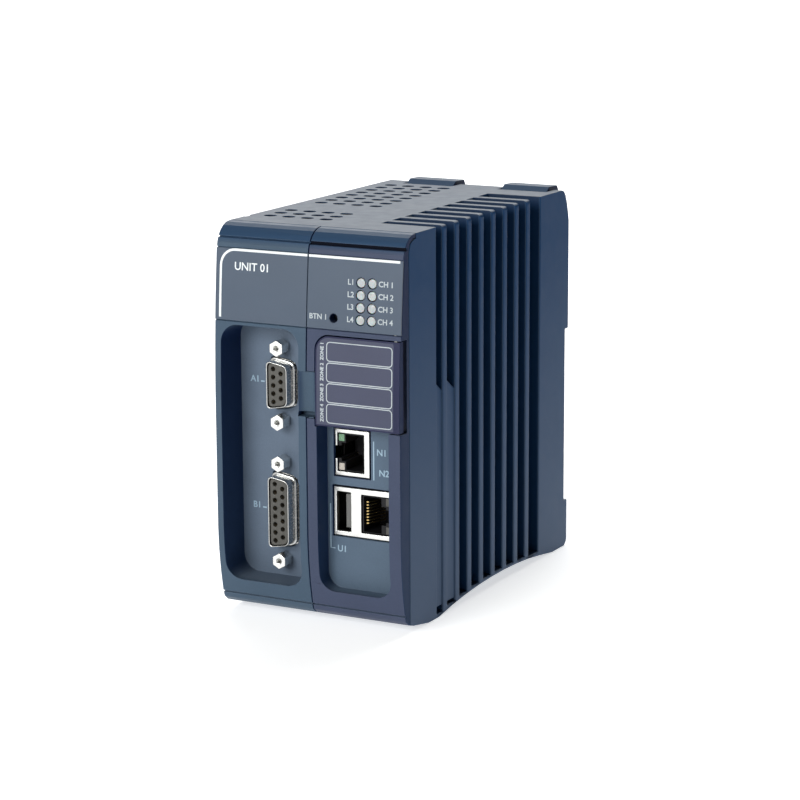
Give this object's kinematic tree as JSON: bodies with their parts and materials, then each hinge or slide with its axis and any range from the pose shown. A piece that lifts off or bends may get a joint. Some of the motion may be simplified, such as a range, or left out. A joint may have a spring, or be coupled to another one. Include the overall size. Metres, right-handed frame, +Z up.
{
  "type": "plc module",
  "caption": "Industrial controller CPU module with a finned side heat sink, hinged label door, serial, network and USB ports.",
  "frame": {"origin": "under the centre of the bounding box, on the plane the module stands on", "axes": "+Z up, the front with the ports and the label door faces -Y, +X to the heat sink side"},
  "size_m": [0.069, 0.1304, 0.1326],
  "materials": {
    "cast_housing": "fine powder coat, satin",
    "bezel_plastic": "fine spark texture",
    "door_plastic": "fine texture with a printed label",
    "printed_film": "satin printed film",
    "clear_lens": "milky translucent",
    "nickel_steel": "bright nickel plate",
    "zinc_steel": "zinc plate",
    "black_plastic": "moulded black",
    "insulator": "moulded dark grey",
    "white_plastic": "moulded white",
    "circuit_board": "solder mask green",
    "chip_package": "epoxy",
    "thermal_gap_pad": "soft silicone"
  },
  "bodies": {
    "module": {"housing": "cast_housing", "left_cover": "cast_housing", "left_bezel": "bezel_plastic", "right_bezel": "bezel_plastic", "door_hinge_pin": "zinc_steel", "left_film": "printed_film", "right_film": "printed_film", "light_pipes": "clear_lens", "indicator_board": "circuit_board", "reset_switch": "black_plastic", "upper_jack_shield": "nickel_steel", "upper_jack_insert": "black_plastic", "combo_jack_shield": "nickel_steel", "lower_jack_insert": "black_plastic", "usb_insert": "black_plastic", "run_stop_switch": "black_plastic", "card_switch": "black_plastic", "start_switch": "black_plastic", "switch_board": "circuit_board", "main_board": "circuit_board", "io_board": "circuit_board", "processor": "chip_package", "thermal_pad": "thermal_gap_pad", "storage_card": "circuit_board", "coin_cell_holder": "black_plastic", "coin_cell": "nickel_steel", "bulk_capacitor_1": "black_plastic", "bulk_capacitor_2": "black_plastic", "backplane_connector": "black_plastic", "hook_pin_left": "zinc_steel", "hook_pin_right": "zinc_steel", "cover_screw_1": "zinc_steel", "board_spacer_1": "zinc_steel", "cover_screw_2": "zinc_steel", "board_spacer_2": "zinc_steel", "cover_screw_3": "zinc_steel", "board_spacer_3": "zinc_steel", "cover_screw_4": "zinc_steel", "board_spacer_4": "zinc_steel", "serial_port_9_shell": "nickel_steel", "serial_port_9_insulator": "insulator", "serial_port_9_lower_jackscrew": "nickel_steel", "serial_port_9_upper_jackscrew": "nickel_steel", "serial_port_15_shell": "nickel_steel", "serial_port_15_insulator": "insulator", "serial_port_15_lower_jackscrew": "nickel_steel", "serial_port_15_upper_jackscrew": "nickel_steel"},
    "label_door": {"label_door": "door_plastic"},
    "run_stop_lever": {"run_stop_lever": "white_plastic"},
    "card_lever": {"card_lever": "white_plastic"},
    "start_button": {"start_button": "white_plastic"},
    "reset_button": {"reset_button": "white_plastic"},
    "top_hook_left": {"top_hook_left": "bezel_plastic"},
    "top_hook_right": {"top_hook_right": "bezel_plastic"}
  },
  "joints": [
    {"name": "door_hinge", "type": "hinge", "parent": "module", "child": "label_door", "pos_m": [0.032, -0.0628, 0.0827], "axis": [0, 0, 1], "range_deg": [0, 115]},
    {"name": "run_stop_slide", "type": "slide", "parent": "module", "child": "run_stop_lever", "axis": [0, 0, 1], "range_m": [0, 0.003]},
    {"name": "card_slide", "type": "slide", "parent": "module", "child": "card_lever", "axis": [0, 0, 1], "range_m": [0, 0.003]},
    {"name": "start_press", "type": "slide", "parent": "module", "child": "start_button", "axis": [0, 1, 0], "range_m": [0, 0.0008], "stiffness_N_per_m": 800},
    {"name": "reset_press", "type": "slide", "parent": "module", "child": "reset_button", "axis": [0, 1, 0], "range_m": [0, 0.0006], "stiffness_N_per_m": 800},
    {"name": "hook_left_press", "type": "hinge", "parent": "module", "child": "top_hook_left", "pos_m": [-0.016, 0.0563, 0.1276], "axis": [-1, 0, 0], "range_deg": [0, 6], "stiffness_Nm_per_rad": 0.5},
    {"name": "hook_right_press", "type": "hinge", "parent": "module", "child": "top_hook_right", "pos_m": [0.0215, 0.0563, 0.1276], "axis": [-1, 0, 0], "range_deg": [0, 6], "stiffness_Nm_per_rad": 0.5}
  ]
}
